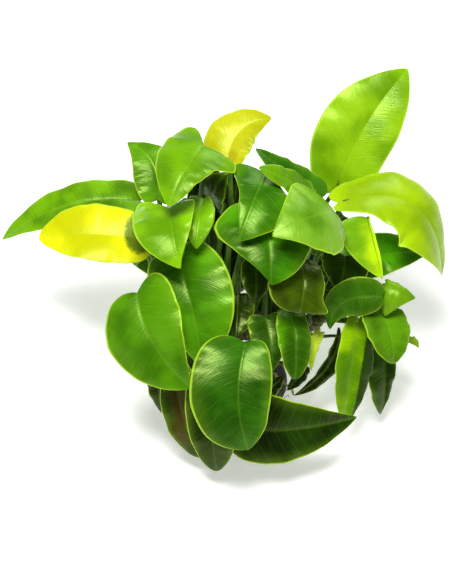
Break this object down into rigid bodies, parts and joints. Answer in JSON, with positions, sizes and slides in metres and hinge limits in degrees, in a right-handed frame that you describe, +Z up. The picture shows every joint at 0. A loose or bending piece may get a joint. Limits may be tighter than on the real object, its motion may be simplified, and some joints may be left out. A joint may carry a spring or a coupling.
{
  "type": "anubias on stone",
  "caption": "Aquarium plant with arching heart-shaped leaves on stalks, growing from a creeping rhizome that grips a rounded dark stone with its roots",
  "frame": {"origin": "On the flat underside of the stone, under the middle of the stone's top, on the plane that the object stands on", "axes": "+Z is up, +X is to the right as the plant is seen from its open side, along its longest extent, and +Y points to the back of the plant"},
  "size_m": [0.1871, 0.1436, 0.1144],
  "materials": {
    "stone": "matte",
    "rhizome": "satin",
    "root": "matte",
    "leaf_fresh": "gloss",
    "leaf_lime": "gloss",
    "leaf_deep": "gloss",
    "leaf_olive": "gloss",
    "leaf_yellow": "satin"
  },
  "bodies": {
    "root": {"stone": "stone", "rhizome_main": "rhizome", "rhizome_right": "rhizome", "rhizome_front": "rhizome", "root_left": "root", "root_left_front": "root", "root_front_left": "root", "root_front_right": "root", "root_right_front": "root", "root_right": "root", "root_back_right": "root", "root_back_left": "root", "leaf_tall_right": "leaf_fresh", "leaf_arching_right": "leaf_lime", "leaf_folded_right": "leaf_fresh", "leaf_shaded_right": "leaf_deep", "leaf_crown_right": "leaf_lime", "leaf_crown_back": "leaf_deep", "leaf_crown_slim": "leaf_lime", "leaf_crown_centre": "leaf_fresh", "leaf_wavy_centre": "leaf_fresh", "leaf_crown_left": "leaf_fresh", "leaf_upper_left": "leaf_lime", "leaf_middle_left": "leaf_fresh", "leaf_long_left": "leaf_fresh", "leaf_yellow_left": "leaf_yellow", "leaf_yellow_back": "leaf_yellow", "leaf_tucked_left": "leaf_lime", "leaf_tucked_back": "leaf_deep", "leaf_broad_left": "leaf_fresh", "leaf_heart_left": "leaf_fresh", "leaf_heart_front": "leaf_fresh", "leaf_low_front": "leaf_deep", "leaf_browned_front": "leaf_olive", "leaf_dark_left": "leaf_deep", "leaf_low_right": "leaf_deep", "leaf_hanging_right": "leaf_lime", "leaf_side_right": "leaf_fresh", "leaf_curled_right": "leaf_fresh", "leaf_outer_right": "leaf_lime", "leaf_small_right": "leaf_lime", "leaf_drooping_right": "leaf_deep", "leaf_curved_right": "leaf_deep", "leaf_young_rolled": "leaf_yellow", "leaf_inner_small": "leaf_fresh", "leaf_inner_front": "leaf_fresh", "leaf_olive_centre": "leaf_olive", "leaf_inner_round": "leaf_deep", "leaf_inner_slim": "leaf_deep", "leaf_inner_right": "leaf_deep", "leaf_peeping_right": "leaf_deep", "leaf_low_small": "leaf_deep", "leaf_low_slim": "leaf_deep", "leaf_shadowed_left": "leaf_deep", "leaf_shadowed_centre": "leaf_deep", "leaf_rear_left": "leaf_deep", "leaf_rear_centre": "leaf_deep", "leaf_rear_right": "leaf_deep", "leaf_rear_low": "leaf_deep", "leaf_rear_side": "leaf_deep"}
  },
  "joints": []
}
